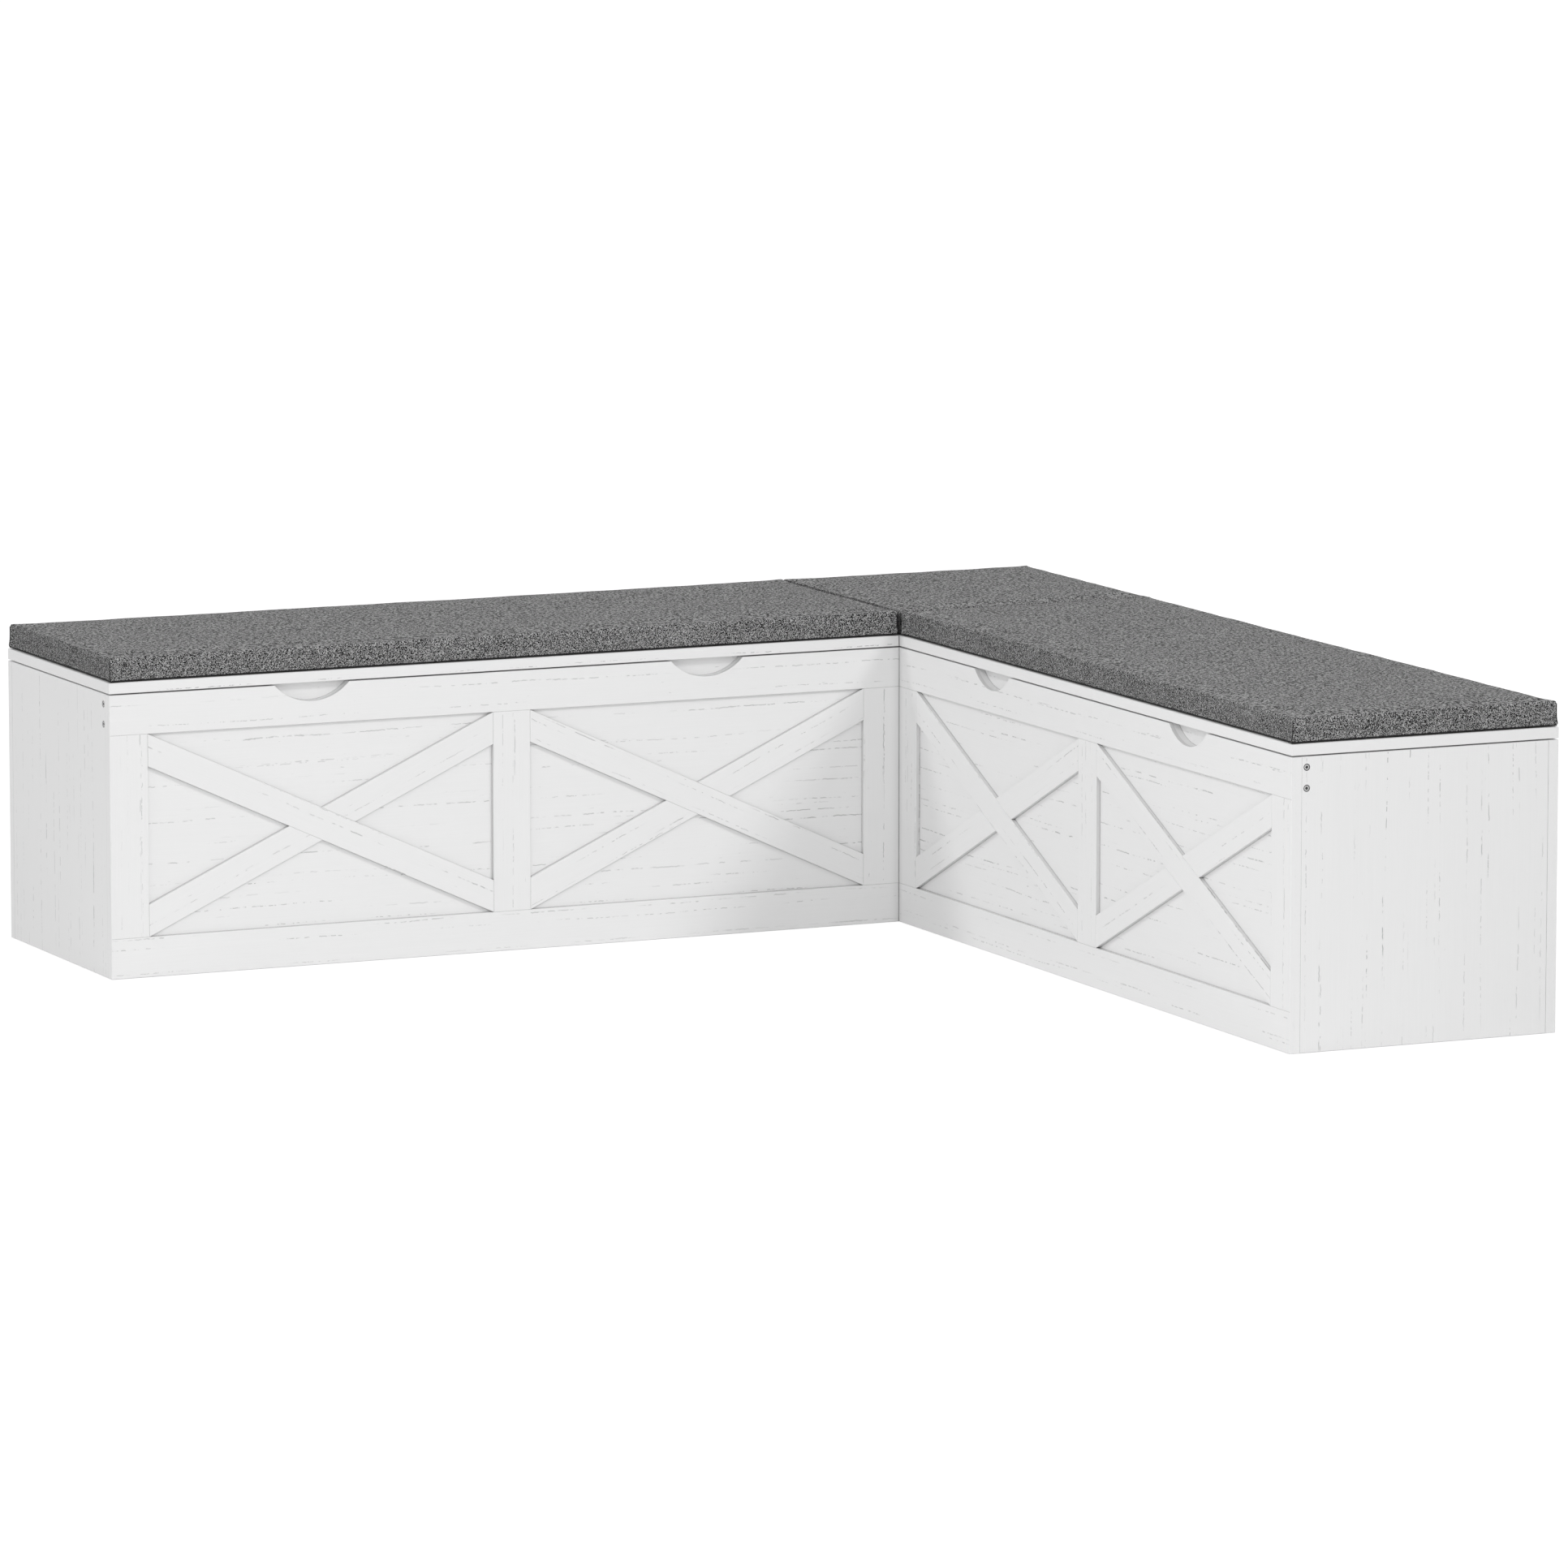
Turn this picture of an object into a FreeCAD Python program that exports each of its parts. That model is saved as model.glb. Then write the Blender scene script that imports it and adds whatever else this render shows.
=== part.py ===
"""Corner storage bench: two long storage boxes joined by a square corner box, with hinged lids and cushions.

Millimetres, +Z up, standing on the floor at Z = 0 with the origin under the middle of the bounding box.
+X runs along the left wing to the inner corner and +Y from its front to its back. The right wing runs to -Y.

Each box is drawn in a frame of its own: X along its front from left to right as one faces it, Y from its
front to its back, Z up. A place in that frame is written (u, w, z).
"""
import FreeCAD
import Part

import math
import os

from FreeCAD import Placement, Rotation, Vector

# ---------------------------------------------------------------- driving dimensions

# Boxes
wing_length = 1200.0  # front of each wing, from its outer end to the inner corner
seat_depth = 400.0  # front face to back face of every box
box_height = 395.0  # floor to the top edge of the boxes
end_board = 15.0  # end and side panels
back_board = 15.0
bottom_board = 9.0

# Front of a wing: a thin face panel with a frame and braces planted on it
face_board = 9.0
trim_board = 6.0
rail_height = 56.0
stile_width = 56.0
brace_width = 41.0
edge_ease = 0.5  # chamfer on the edges that show

# Finger notches in the top edge of the front
notch_width = 111.0
notch_depth = 24.5
notch_from_end = 300.0

# Inner front rail, behind the top of the front
inner_rail_board = 15.0
inner_rail_height = 56.0

# Cleats that carry the bottom panels
cleat_width = 20.0
cleat_height = 20.0
cleat_above_floor = 12.0
bottom_play = 0.5  # all round each bottom panel

# Lids
lid_board = 15.0
lid_seam = 2.0  # between neighbouring lids
bumper_size = 10.0  # square pads between box and lid
bumper_from_end = 60.0

# Cushions
cushion_thickness = 37.0
cushion_inset = 2.5  # from the edges of the box below
cushion_shoulder = 2.0  # chamfer round the top and down the corners
strip_thickness = 1.0  # hook-and-loop strips between lid and cushion
strip_width = 25.0
strip_from_edge = 45.0

# Butt hinges
hinge_length = 60.0
leaf_width = 14.0
leaf_thickness = 0.9
leaf_play = 0.2  # between the two leaves of a closed hinge
pin_radius = 1.5
pin_play = 0.05
knuckle_play = 0.3  # end to end between knuckles
knuckle_clearance = 0.4  # from the back of the box and the lid
wing_hinge_from_end = 180.0
corner_hinge_from_end = 100.0

# Socket-head screws through the outer end panels into the inner front rails
screw_head_radius = 4.2
screw_head_depth = 3.0
screw_shank_radius = 2.5
screw_length = 48.0
screw_socket = 4.0  # across the flats
screw_socket_depth = 2.2
screw_from_rail_edge = 14.0
screw_recess = 0.4
screw_play = 0.1
counterbore_radius = 4.8

# Hexagon-head screws that hold each wing to the corner box, from inside the wing
joint_head_flats = 8.0  # across the flats
joint_head = 3.5
joint_shank_radius = 2.5
joint_length = 26.0
joint_from_edge = 110.0
joint_height = 205.0

# ---------------------------------------------------------------- what follows from them

front_thickness = face_board + trim_board
notch_radius = (notch_width**2 / 4 + notch_depth**2) / (2 * notch_depth)

lid_gap = 2 * leaf_thickness + leaf_play
lid_bottom = box_height + lid_gap
lid_top = lid_bottom + lid_board
cushion_bottom = lid_top + strip_thickness

bore_radius = pin_radius + pin_play
knuckle_radius = bore_radius + leaf_thickness
hinge_axis_w = seat_depth + knuckle_clearance + knuckle_radius
hinge_axis_z = box_height + lid_gap / 2
back_overhang = knuckle_clearance + 2 * knuckle_radius

cleat_top = cleat_above_floor + cleat_height
rail_middle_w = front_thickness + inner_rail_board / 2
screw_heights = (
    box_height - screw_from_rail_edge,
    box_height - inner_rail_height + screw_from_rail_edge,
)
joint_places = (joint_from_edge, seat_depth - joint_from_edge)
joint_bore_radius = joint_shank_radius + screw_play

# The inner corner of the L, seen from above, with the origin in the middle of the bounding box
overall = wing_length + seat_depth + back_overhang
inner_corner = Vector(wing_length - overall / 2, wing_length - overall / 2, 0)

UP = Vector(0, 0, 1)
ALONG = Vector(1, 0, 0)
INWARD = Vector(0, 1, 0)

# Where each box's own frame lies on the bench
LEFT = Placement(inner_corner - ALONG * wing_length, Rotation(UP, 0))
CORNER = Placement(inner_corner, Rotation(UP, 0))
RIGHT = Placement(inner_corner, Rotation(UP, -90))


# ---------------------------------------------------------------- helpers


def block(u, w, z):
    """A board between two limits along each direction."""
    return Part.makeBox(u[1] - u[0], w[1] - w[0], z[1] - z[0], Vector(u[0], w[0], z[0]))


def lies_at(edge, axis, value):
    """Whether an edge lies in the plane where one coordinate has a value."""
    first, last = edge.ParameterRange
    points = (edge.valueAt(first), edge.valueAt((first + last) / 2), edge.valueAt(last))
    return all(abs(getattr(point, axis) - value) < 1e-6 for point in points)


def eased(shape, axis, value):
    """The shape with the edges of one of its flat faces broken by a small chamfer."""
    edges = [edge for edge in shape.Edges if lies_at(edge, axis, value)]
    return shape.makeChamfer(edge_ease, edges)


def planted(shape):
    """A piece of the planted frame, with the edges of its front face eased."""
    return eased(shape, "y", 0)


def prism(outline, depth):
    """A flat piece with the given (u, z) corners, from the front plane back to a depth."""
    corners = [Vector(u, 0, z) for u, z in outline]
    return Part.Face(Part.makePolygon(corners + corners[:1])).extrude(INWARD * depth)


def placed(shapes, place):
    """Shapes moved from a box's own frame to the bench's."""
    return [shape.transformed(place.toMatrix()) for shape in shapes]


def save(name, shapes):
    """Write the solids of one sub-part to its file."""
    whole = Part.makeCompound(shapes) if len(shapes) > 1 else shapes[0]
    whole.exportStep(f"parts/{name}.step")


# ---------------------------------------------------------------- front of a wing


def notched(board):
    """A board of the front without the finger notches."""
    centre_z = box_height - notch_depth + notch_radius
    for u in (notch_from_end, wing_length - notch_from_end):
        start = Vector(u, -edge_ease, centre_z)
        board = board.cut(Part.makeCylinder(notch_radius, front_thickness + 2 * edge_ease, start, INWARD))
    return board


def face_panel():
    """The recessed panel that shows between the rails, stiles and braces."""
    return notched(block((0, wing_length), (trim_board, front_thickness), (0, box_height)))


def top_rail():
    """The planted rail with the finger notches."""
    return planted(notched(block((0, wing_length), (0, trim_board), (box_height - rail_height, box_height))))


def bottom_rail():
    """The planted rail along the floor."""
    return planted(block((0, wing_length), (0, trim_board), (0, rail_height)))


def stile_spans():
    """Where the three stiles stand, from left to right."""
    middle = wing_length / 2
    half = stile_width / 2
    return ((0, stile_width), (middle - half, middle + half), (wing_length - stile_width, wing_length))


def stile(span):
    """An upright between the two rails."""
    return planted(block(span, (0, trim_board), (rail_height, box_height - rail_height)))


def panel_spans():
    """The two openings between the stiles, from left to right."""
    left, middle, right = stile_spans()
    return ((left[1], middle[0]), (middle[1], right[0]))


def brace_rise():
    """How much height the slanted cut at a brace's end takes along its stile."""
    width = panel_spans()[0][1] - panel_spans()[0][0]
    height = box_height - 2 * rail_height
    slant = width * math.sqrt(width**2 + height**2 - brace_width**2)
    return brace_width * (slant - brace_width * height) / (width**2 - brace_width**2)


def brace_outline(start_u, end_u):
    """A brace from the top corner at one side of an opening to the bottom corner at the other."""
    top = box_height - rail_height
    rise = brace_rise()
    return ((start_u, top), (end_u, rail_height + rise), (end_u, rail_height), (start_u, top - rise))


def long_brace(span):
    """The brace that runs unbroken, down to the right."""
    return planted(prism(brace_outline(span[0], span[1]), trim_board))


def short_braces(span):
    """The two halves of the other brace, which butt against the long one."""
    whole = prism(brace_outline(span[1], span[0]), trim_board)
    halves = whole.cut(prism(brace_outline(span[0], span[1]), trim_board))
    return [planted(half) for half in halves.Solids]


# ---------------------------------------------------------------- carcass


def screw_bores(hole_depth):
    """Cutters at a wing's left end for the end-panel screws: clearance holes and counterbores."""
    cutters = []
    for z in screw_heights:
        start = Vector(0, rail_middle_w, z)
        cutters.append(Part.makeCylinder(screw_shank_radius + screw_play, hole_depth, start, ALONG))
        cutters.append(Part.makeCylinder(counterbore_radius, screw_recess + screw_head_depth, start, ALONG))
    return cutters


def joint_bores(depth):
    """Cutters at a left end for the screws between a wing and the corner box."""
    places = [Vector(0, w, joint_height) for w in joint_places]
    return [Part.makeCylinder(joint_bore_radius, depth, place, ALONG) for place in places]


def flipped(shape):
    """A left-end piece of a wing turned over to the wing's right end."""
    return shape.mirror(Vector(wing_length / 2, 0, 0), ALONG)


def inner_rail():
    """The rail behind the top of the front, bored at its left end for the end-panel screws."""
    rail = block(
        (end_board, wing_length - end_board),
        (front_thickness, front_thickness + inner_rail_board),
        (box_height - inner_rail_height, box_height),
    )
    return rail.cut(screw_bores(screw_recess + screw_length + 1))


def end_panel(bores):
    """A wing's left end panel, between the front and the back panel."""
    panel = block((0, end_board), (front_thickness, seat_depth - back_board), (0, box_height))
    return eased(panel, "x", 0).cut(bores)


def back_panel(length):
    """A back panel, lapped over the edges of the panels that it meets."""
    return eased(block((0, length), (seat_depth - back_board, seat_depth), (0, box_height)), "y", seat_depth)


def bottom_panel(u, w):
    """The floor of a box, loose between its panels on the cleats."""
    return block(
        (u[0] + bottom_play, u[1] - bottom_play),
        (w[0] + bottom_play, w[1] - bottom_play),
        (cleat_top, cleat_top + bottom_board),
    )


def bottom_cleats(u, w):
    """The two battens along the front and the back of a box that carry its floor."""
    z = (cleat_above_floor, cleat_top)
    return [block(u, (w[0], w[0] + cleat_width), z), block(u, (w[1] - cleat_width, w[1]), z)]


# ---------------------------------------------------------------- lids, cushions and strips


def lid(u, w):
    """A lid board, with the edges of its top and bottom faces eased."""
    board = block(u, w, (lid_bottom, lid_top))
    return eased(eased(board, "z", lid_top), "z", lid_bottom)


def cushion(length):
    """A flat seat cushion, with its top edges and upright corners taken off."""
    body = block(
        (cushion_inset, length - cushion_inset),
        (cushion_inset, seat_depth - cushion_inset),
        (cushion_bottom, cushion_bottom + cushion_thickness),
    )
    edges = [edge for edge in body.Edges if edge.BoundBox.ZMax > cushion_bottom + cushion_thickness / 2]
    return body.makeChamfer(cushion_shoulder, edges)


def cushion_strips(length):
    """The two hook-and-loop strips along the front and the back of a cushion."""
    u = (cushion_inset + strip_from_edge, length - cushion_inset - strip_from_edge)
    z = (lid_top, cushion_bottom)
    front = cushion_inset + strip_from_edge
    back = seat_depth - front - strip_width
    return [block(u, (w, w + strip_width), z) for w in (front, back)]


def bumpers(places):
    """Pads on the top edge of a box, centred on (u, w) places, that carry the front of its lid."""
    half = bumper_size / 2
    z = (box_height, lid_bottom)
    return [block((u - half, u + half), (w - half, w + half), z) for u, w in places]


# ---------------------------------------------------------------- hinges


def wing_hinges():
    """The middles of a wing's two hinges along its back."""
    return (wing_hinge_from_end, wing_length - wing_hinge_from_end)


def corner_hinges():
    """The middles of the corner lid's two hinges along its back."""
    return (corner_hinge_from_end, seat_depth - corner_hinge_from_end)


def hinge_rod(radius, start_u, end_u):
    """A round bar on the hinge axis."""
    return Part.makeCylinder(radius, end_u - start_u, Vector(start_u, hinge_axis_w, hinge_axis_z), ALONG)


def knuckle(start_u, end_u, leaf_z):
    """One knuckle with the web that joins it to its leaf."""
    web = block((start_u, end_u), (seat_depth, hinge_axis_w), leaf_z)
    return web.fuse(hinge_rod(knuckle_radius, start_u, end_u))


def leaf(middle_u, z, knuckle_spans):
    """A hinge leaf with its knuckles."""
    first = middle_u - hinge_length / 2
    last = middle_u + hinge_length / 2
    plate = block((first, last), (seat_depth - leaf_width, seat_depth), z)
    body = plate.fuse([knuckle(start, end, z) for start, end in knuckle_spans])
    return body.cut(hinge_rod(bore_radius, first, last)).removeSplitter()


def fixed_leaf(middle_u):
    """The leaf on the box, with the two outer knuckles."""
    first = middle_u - hinge_length / 2
    last = middle_u + hinge_length / 2
    span = hinge_length / 3 - knuckle_play / 2
    spans = ((first, first + span), (last - span, last))
    return leaf(middle_u, (box_height, box_height + leaf_thickness), spans)


def moving_leaf(middle_u):
    """The leaf under the lid, with the middle knuckle."""
    half = hinge_length / 6 - knuckle_play / 2
    return leaf(middle_u, (lid_bottom - leaf_thickness, lid_bottom), ((middle_u - half, middle_u + half),))


def hinge_pin(middle_u):
    """The pin through the three knuckles."""
    return hinge_rod(pin_radius, middle_u - hinge_length / 2, middle_u + hinge_length / 2)


# ---------------------------------------------------------------- fasteners


def hexagon(flats, start_u, length):
    """A hexagonal bar along +u from a start."""
    corner = flats / math.sqrt(3)
    angles = [math.radians(60 * step) for step in range(7)]
    outline = [Vector(start_u, corner * math.cos(angle), corner * math.sin(angle)) for angle in angles]
    return Part.Face(Part.makePolygon(outline)).extrude(ALONG * length)


def shank(radius, start_u, length):
    """A round bar along +u from a start."""
    return Part.makeCylinder(radius, length, Vector(start_u, 0, 0), ALONG)


def end_screws():
    """The two socket-head screws at a wing's left end."""
    head = shank(screw_head_radius, screw_recess, screw_head_depth)
    screw = head.fuse(shank(screw_shank_radius, screw_recess, screw_length))
    screw = screw.cut(hexagon(screw_socket, screw_recess, screw_socket_depth)).removeSplitter()
    return [screw.translated(Vector(0, rail_middle_w, z)) for z in screw_heights]


def joint_screws():
    """The two screws from inside a wing's right end panel into the corner box."""
    seat = wing_length - end_board
    head = hexagon(joint_head_flats, seat - joint_head, joint_head)
    screw = head.fuse(shank(joint_shank_radius, seat, joint_length))
    return [screw.translated(Vector(0, w, joint_height)) for w in joint_places]


# ---------------------------------------------------------------- the bench


def make_wing(side, place, left_is_outer):
    """Write the sub-parts of one wing. Its outer end is on the left of the left wing only."""

    def put(name, shapes):
        save(f"{side}_{name}", placed(shapes, place))

    def at_end(shape):
        return shape if left_is_outer else flipped(shape)

    ends = ("outer", "inner") if left_is_outer else ("inner", "outer")
    put("face_panel", [face_panel()])
    put("top_rail", [top_rail()])
    put("bottom_rail", [bottom_rail()])
    for where, span in zip((ends[0], "middle", ends[1]), stile_spans()):
        put(f"{where}_stile", [stile(span)])
    for where, span in zip(ends, panel_spans()):
        put(f"{where}_long_brace", [long_brace(span)])
        put(f"{where}_short_braces", short_braces(span))

    put("inner_rail", [at_end(inner_rail())])
    put("outer_end_panel", [at_end(end_panel(screw_bores(end_board)))])
    put("inner_end_panel", [at_end(flipped(end_panel(joint_bores(end_board))))])
    put("back_panel", [back_panel(wing_length)])
    put("end_panel_screws", [at_end(screw) for screw in end_screws()])
    put("joint_screws", [at_end(screw) for screw in joint_screws()])

    u = (end_board, wing_length - end_board)
    w = (front_thickness, seat_depth - back_board)
    put("bottom_panel", [bottom_panel(u, w)])
    put("bottom_cleats", bottom_cleats(u, w))

    put("lid", [at_end(lid((0, wing_length - lid_seam / 2), (0, seat_depth)))])
    put("cushion", [cushion(wing_length)])
    put("cushion_strips", cushion_strips(wing_length))
    put("hinge_box_leaves", [fixed_leaf(middle) for middle in wing_hinges()])
    put("hinge_lid_leaves", [moving_leaf(middle) for middle in wing_hinges()])


def make_corner():
    """Write the sub-parts of the corner box."""

    def put(name, shapes):
        save(f"corner_{name}", placed(shapes, CORNER))

    height = (0, box_height)
    inner_back = seat_depth - back_board
    bore_depth = joint_length - end_board + 1
    left_side = block((0, end_board), (0, inner_back), height)
    right_side = block((end_board, inner_back), (0, end_board), height)
    right_places = [Vector(u, 0, joint_height) for u in joint_places]
    right_bores = [Part.makeCylinder(joint_bore_radius, bore_depth, place, INWARD) for place in right_places]
    put("left_side", [left_side.cut(joint_bores(bore_depth))])
    put("right_side", [right_side.cut(right_bores)])
    put("rear_panel", [back_panel(seat_depth)])
    put("right_panel", [eased(block((inner_back, seat_depth), (0, inner_back), height), "x", seat_depth)])

    span = (end_board, inner_back)
    put("bottom_panel", [bottom_panel(span, span)])
    put("bottom_cleats", bottom_cleats(span, span))

    reach = (lid_seam / 2, seat_depth)
    put("lid", [lid(reach, reach)])
    put("cushion", [cushion(seat_depth)])
    put("cushion_strips", cushion_strips(seat_depth))
    put("hinge_box_leaves", [fixed_leaf(middle) for middle in corner_hinges()])
    put("hinge_lid_leaves", [moving_leaf(middle) for middle in corner_hinges()])


def make_shared():
    """Write the hinge pins and lid bumpers, which are alike in all three boxes."""
    wing_pins = [hinge_pin(middle) for middle in wing_hinges()]
    corner_pins = [hinge_pin(middle) for middle in corner_hinges()]
    save("hinge_pins", placed(wing_pins, LEFT) + placed(wing_pins, RIGHT) + placed(corner_pins, CORNER))

    wing_pads = bumpers([(bumper_from_end, rail_middle_w), (wing_length - bumper_from_end, rail_middle_w)])
    on_side = end_board / 2
    corner_pads = bumpers([(on_side, bumper_from_end), (seat_depth - bumper_from_end, on_side)])
    save("lid_bumpers", placed(wing_pads, LEFT) + placed(wing_pads, RIGHT) + placed(corner_pads, CORNER))


os.makedirs("parts", exist_ok=True)
make_wing("left", LEFT, left_is_outer=True)
make_wing("right", RIGHT, left_is_outer=False)
make_corner()
make_shared()
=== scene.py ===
"""Corner storage bench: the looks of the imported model, in metres, in the model's own frame."""

import math

import bpy
import numpy as np
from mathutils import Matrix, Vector


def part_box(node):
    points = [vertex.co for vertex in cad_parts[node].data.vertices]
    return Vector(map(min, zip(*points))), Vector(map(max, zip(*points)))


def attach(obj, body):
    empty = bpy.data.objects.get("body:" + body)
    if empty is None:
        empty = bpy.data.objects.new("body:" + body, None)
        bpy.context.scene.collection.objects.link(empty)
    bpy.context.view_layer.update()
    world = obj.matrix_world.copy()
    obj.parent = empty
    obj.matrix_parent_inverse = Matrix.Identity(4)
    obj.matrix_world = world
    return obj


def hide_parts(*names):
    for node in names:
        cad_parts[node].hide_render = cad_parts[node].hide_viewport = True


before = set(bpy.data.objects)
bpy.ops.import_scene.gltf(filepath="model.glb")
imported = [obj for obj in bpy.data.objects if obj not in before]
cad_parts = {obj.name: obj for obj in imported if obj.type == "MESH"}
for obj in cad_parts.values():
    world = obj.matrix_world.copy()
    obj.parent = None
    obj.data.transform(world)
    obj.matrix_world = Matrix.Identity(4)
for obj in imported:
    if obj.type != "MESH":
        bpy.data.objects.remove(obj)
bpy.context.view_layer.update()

X, Y, Z = Vector((1, 0, 0)), Vector((0, 1, 0)), Vector((0, 0, 1))

# Linear colours.
BOARD_WHITE = (0.855, 0.855, 0.855, 1)
BOARD_STREAK = (0.40, 0.40, 0.40, 1)
BOARD_RUBBED = (0.70, 0.70, 0.70, 1)
THREAD_DARK = (0.012, 0.012, 0.012, 1)
THREAD_LIGHT = (0.700, 0.700, 0.700, 1)

INNER_CORNER = 0.39735  # X and Y of the inner corner of the L
OUTER_END = -0.80265  # X of the left wing's outer end, and Y of the right one's
END_SCREWS = (0.41985, 0.353, 0.381)  # from the middle of the L, and the two heights
HINGES = {"left": (-0.62265, 0.21735), "corner": (0.49735, 0.69735), "right": (-0.62265, 0.21735)}
HINGE_LINE = 0.7900  # X or Y of the screws in the hinge leaves
LEAF_FACES = (0.3959, 0.3961)  # the facing sides of a closed hinge's two leaves
CUSHION_REACH = 0.0023  # how far a cushion comes out of its CAD box towards the next one
THREAD_PITCH = 0.0010
QUAD = 0.0068  # size of the quads of a cushion cover before it is made finer
PUFF = 0.0030  # how far the foam may blow a cover out
CORNER_SEAM = 0.0006  # radius of the thread along a corner
HEM = 0.0008  # radius of the hem round the underside
SCREW_HEAD = 0.0026  # radius of a hinge screw's head
FLOOR_PLAY = 0.0006  # how far the floor lies below the feet, so that the two don't flicker

LENS = 222.32
CAMERA_PLACE = (-5.46435, -11.94035, 2.2246)
CAMERA_DOWN, CAMERA_TURN = 8.438, -24.724  # degrees


# ---------------------------------------------------------------- shader nodes


class Graph:
    """A node tree with short calls for the nodes that the materials use."""

    def __init__(self, tree):
        self.tree = tree

    def add(self, kind, inputs=None, **settings):
        node = self.tree.nodes.new(kind)
        for name, value in settings.items():
            setattr(node, name, value)
        for key, value in (inputs or {}).items():
            self.put(node.inputs[key], value)
        return node

    def put(self, socket, value):
        if isinstance(value, bpy.types.NodeSocket):
            self.tree.links.new(value, socket)
        else:
            socket.default_value = value

    def math(self, operation, a, b=0.0, c=0.0):
        return self.add("ShaderNodeMath", {0: a, 1: b, 2: c}, operation=operation).outputs[0]

    def vector(self, operation, a, b=(0, 0, 0)):
        node = self.add("ShaderNodeVectorMath", {0: a, 1: b}, operation=operation)
        return node.outputs["Value" if operation == "DOT_PRODUCT" else "Vector"]

    def joined(self, x, y, z):
        return self.add("ShaderNodeCombineXYZ", {0: x, 1: y, 2: z}).outputs[0]

    def parts(self, vector):
        return self.add("ShaderNodeSeparateXYZ", {0: vector}).outputs

    def noise(self, vector, scale, detail=2.0, roughness=0.5):
        inputs = {"Vector": vector, "Scale": scale, "Detail": detail, "Roughness": roughness}
        return self.add("ShaderNodeTexNoise", inputs).outputs[0]

    def step(self, value, low, high, start=0.0, end=1.0):
        """A smooth step from start at low to end at high."""
        inputs = {0: value, 1: low, 2: high, 3: start, 4: end}
        return self.add("ShaderNodeMapRange", inputs, interpolation_type="SMOOTHSTEP").outputs[0]

    def mix(self, share, a, b):
        inputs = {0: share, 6: a, 7: b}
        return self.add("ShaderNodeMix", inputs, data_type="RGBA").outputs[2]

    def blend(self, share, a, b):
        inputs = {0: share, 2: a, 3: b}
        return self.add("ShaderNodeMix", inputs, data_type="FLOAT").outputs[0]

    def scaled(self, colour, factor):
        return self.add("ShaderNodeVectorMath", {0: colour, "Scale": factor}, operation="SCALE").outputs[0]


def new_material(name):
    material = bpy.data.materials.new(name)
    material.use_nodes = True
    material.node_tree.nodes.clear()
    return material, Graph(material.node_tree)


def finish_material(graph, colour, roughness, height=None, bump=(1.0, 0.0001), **constants):
    """Puts a Principled shader on the material. Constants are set on its own sockets."""
    shader = graph.add("ShaderNodeBsdfPrincipled", {"Base Color": colour, "Roughness": roughness})
    for name, value in constants.items():
        shader.inputs[name.replace("_", " ").title().replace("Ior", "IOR")].default_value = value
    if height is not None:
        strength, distance = bump
        inputs = {"Strength": strength, "Distance": distance, "Height": height}
        graph.put(shader.inputs["Normal"], graph.add("ShaderNodeBump", inputs).outputs[0])
    output = graph.add("ShaderNodeOutputMaterial")
    graph.tree.links.new(shader.outputs[0], output.inputs[0])


# ------------------------------------------------------------- board materials


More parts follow.
